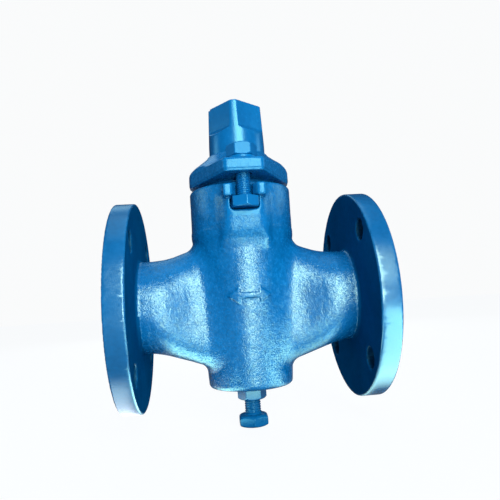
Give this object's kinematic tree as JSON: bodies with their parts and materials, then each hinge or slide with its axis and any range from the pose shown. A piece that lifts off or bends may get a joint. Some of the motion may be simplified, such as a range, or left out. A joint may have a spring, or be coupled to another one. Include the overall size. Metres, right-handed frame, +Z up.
{
  "type": "plug valve",
  "caption": "Two-way taper plug valve with round flanges, a bolted packing gland, a square stem for a wrench and a jacking screw with lock nut underneath.",
  "frame": {"origin": "under the middle of the valve, on the plane its lowest point (the jacking screw head) touches; the pipe axis is 107.5 mm above it", "axes": "+X along the pipe, +Y to the rear across the gland bolts, +Z up along the stem, which is the longest extent"},
  "size_m": [0.22, 0.178, 0.2825],
  "materials": {
    "casting": "gloss blue enamel over sand-cast steel",
    "gland": "gloss blue enamel over sand-cast steel",
    "plug": "gloss blue enamel on the stem, bare ground steel on the taper",
    "fastener": "gloss blue enamel over forged steel",
    "machined": "turned",
    "packing": "braided graphite, dull",
    "seal": "soft copper",
    "ball": "polished bearing steel"
  },
  "bodies": {
    "root": {"body": "casting", "gland_bolt_front": "fastener", "gland_bolt_rear": "fastener", "packing_washer": "machined", "packing_ring_1": "packing", "packing_ring_2": "packing", "packing_ring_3": "packing", "packing_ring_4": "packing"},
    "plug": {"plug": "plug"},
    "gland": {"gland": "gland", "gland_washer_front": "fastener", "gland_washer_rear": "fastener"},
    "gland_nut_front": {"gland_nut_front": "fastener"},
    "gland_nut_rear": {"gland_nut_rear": "fastener"},
    "thrust_ball": {"thrust_ball": "ball"},
    "jacking_bolt": {"jacking_bolt": "fastener"},
    "seal_washer": {"seal_washer": "seal"},
    "lock_nut": {"lock_nut": "fastener"}
  },
  "joints": [
    {"name": "plug_turn", "type": "hinge", "parent": "root", "child": "plug", "pos_m": [0, 0, 0.1075], "axis": [0, 0, 1], "continuous": true},
    {"name": "gland_slide", "type": "slide", "parent": "root", "child": "gland", "axis": [0, 0, 1], "range_m": [-0.00263, 0], "deforming": ["packing_ring_1", "packing_ring_2", "packing_ring_3", "packing_ring_4"]},
    {"name": "gland_nut_front_spin", "type": "hinge", "parent": "gland", "child": "gland_nut_front", "pos_m": [0, -0.048, 0.2275], "axis": [0, 0, 1], "range_deg": [-540.5, 0]},
    {"name": "gland_nut_rear_spin", "type": "hinge", "parent": "gland", "child": "gland_nut_rear", "pos_m": [0, 0.048, 0.2275], "axis": [0, 0, 1], "range_deg": [-540.5, 0]},
    {"name": "jacking_slide", "type": "slide", "parent": "root", "child": "thrust_ball", "axis": [0, 0, 1], "range_m": [-0.005, 0.002]},
    {"name": "jacking_bolt_spin", "type": "hinge", "parent": "thrust_ball", "child": "jacking_bolt", "pos_m": [0, 0, 0.0025], "axis": [0, 0, 1], "range_deg": [-901, 361]},
    {"name": "lock_nut_slide", "type": "slide", "parent": "root", "child": "seal_washer", "axis": [0, 0, 1], "range_m": [-0.01, 0]},
    {"name": "lock_nut_spin", "type": "hinge", "parent": "seal_washer", "child": "lock_nut", "pos_m": [0, 0, 0.0295], "axis": [0, 0, 1], "range_deg": [-1801, 0]}
  ],
  "couplings": [
    {"joint": "gland_nut_front_spin", "follows": "gland_slide", "rad_per_m": 3590.4},
    {"joint": "gland_nut_rear_spin", "follows": "gland_slide", "rad_per_m": 3590.4},
    {"joint": "jacking_bolt_spin", "follows": "jacking_slide", "rad_per_m": 3141.6},
    {"joint": "lock_nut_spin", "follows": "lock_nut_slide", "rad_per_m": 3141.6}
  ]
}
